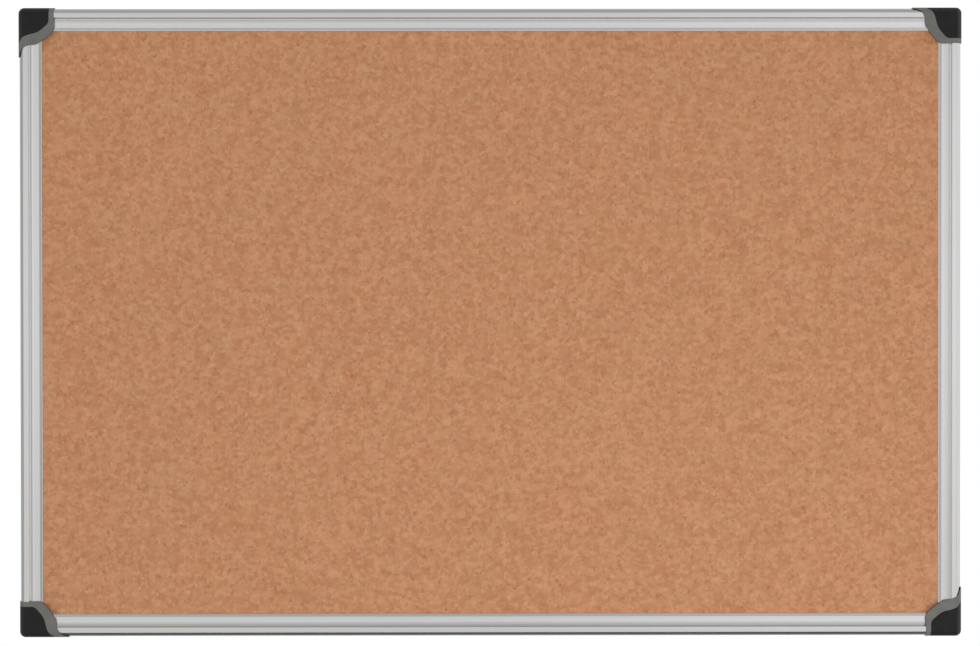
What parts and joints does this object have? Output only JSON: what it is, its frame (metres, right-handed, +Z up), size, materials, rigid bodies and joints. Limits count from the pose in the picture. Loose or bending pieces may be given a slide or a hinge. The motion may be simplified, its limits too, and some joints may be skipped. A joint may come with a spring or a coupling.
{
  "type": "cork board",
  "caption": "Wall-hung cork notice board in an aluminium frame with two-tone plastic corners whose caps pull off to reach the wall screws.",
  "frame": {"origin": "the middle of the board's back, on the wall plane", "axes": "+X to the right and +Z up as it hangs; +Y into the wall, so the cork faces -Y"},
  "size_m": [0.902, 0.0184, 0.602],
  "materials": {
    "rail_aluminium": "satin anodised extrusion",
    "corner_grey": "fine-textured moulded plastic",
    "cap_black": "satin moulded plastic",
    "cork": "fine-grained agglomerated cork, unsealed",
    "fibreboard": "soft wood-fibre board",
    "backing_paper": "unbleached kraft paper",
    "screw_steel": "zinc-plated steel"
  },
  "bodies": {
    "board": {"backing_sheet": "backing_paper", "softboard_core": "fibreboard", "cork_sheet": "cork", "rail_bottom": "rail_aluminium", "rail_right": "rail_aluminium", "rail_top": "rail_aluminium", "rail_left": "rail_aluminium", "corner_bottom_left": "corner_grey", "corner_bottom_right": "corner_grey", "corner_top_right": "corner_grey", "corner_top_left": "corner_grey", "screw_bottom_rail_left": "screw_steel", "screw_bottom_rail_right": "screw_steel", "screw_right_rail_bottom": "screw_steel", "screw_right_rail_top": "screw_steel", "screw_top_rail_right": "screw_steel", "screw_top_rail_left": "screw_steel", "screw_left_rail_top": "screw_steel", "screw_left_rail_bottom": "screw_steel"},
    "cap_bottom_left": {"cap_bottom_left": "cap_black"},
    "cap_bottom_right": {"cap_bottom_right": "cap_black"},
    "cap_top_right": {"cap_top_right": "cap_black"},
    "cap_top_left": {"cap_top_left": "cap_black"}
  },
  "joints": [
    {"name": "cap_off_bottom_left", "type": "slide", "parent": "board", "child": "cap_bottom_left", "axis": [0, -1, 0], "range_m": [0, 0.02]},
    {"name": "cap_off_bottom_right", "type": "slide", "parent": "board", "child": "cap_bottom_right", "axis": [0, -1, 0], "range_m": [0, 0.02]},
    {"name": "cap_off_top_right", "type": "slide", "parent": "board", "child": "cap_top_right", "axis": [0, -1, 0], "range_m": [0, 0.02]},
    {"name": "cap_off_top_left", "type": "slide", "parent": "board", "child": "cap_top_left", "axis": [0, -1, 0], "range_m": [0, 0.02]}
  ]
}
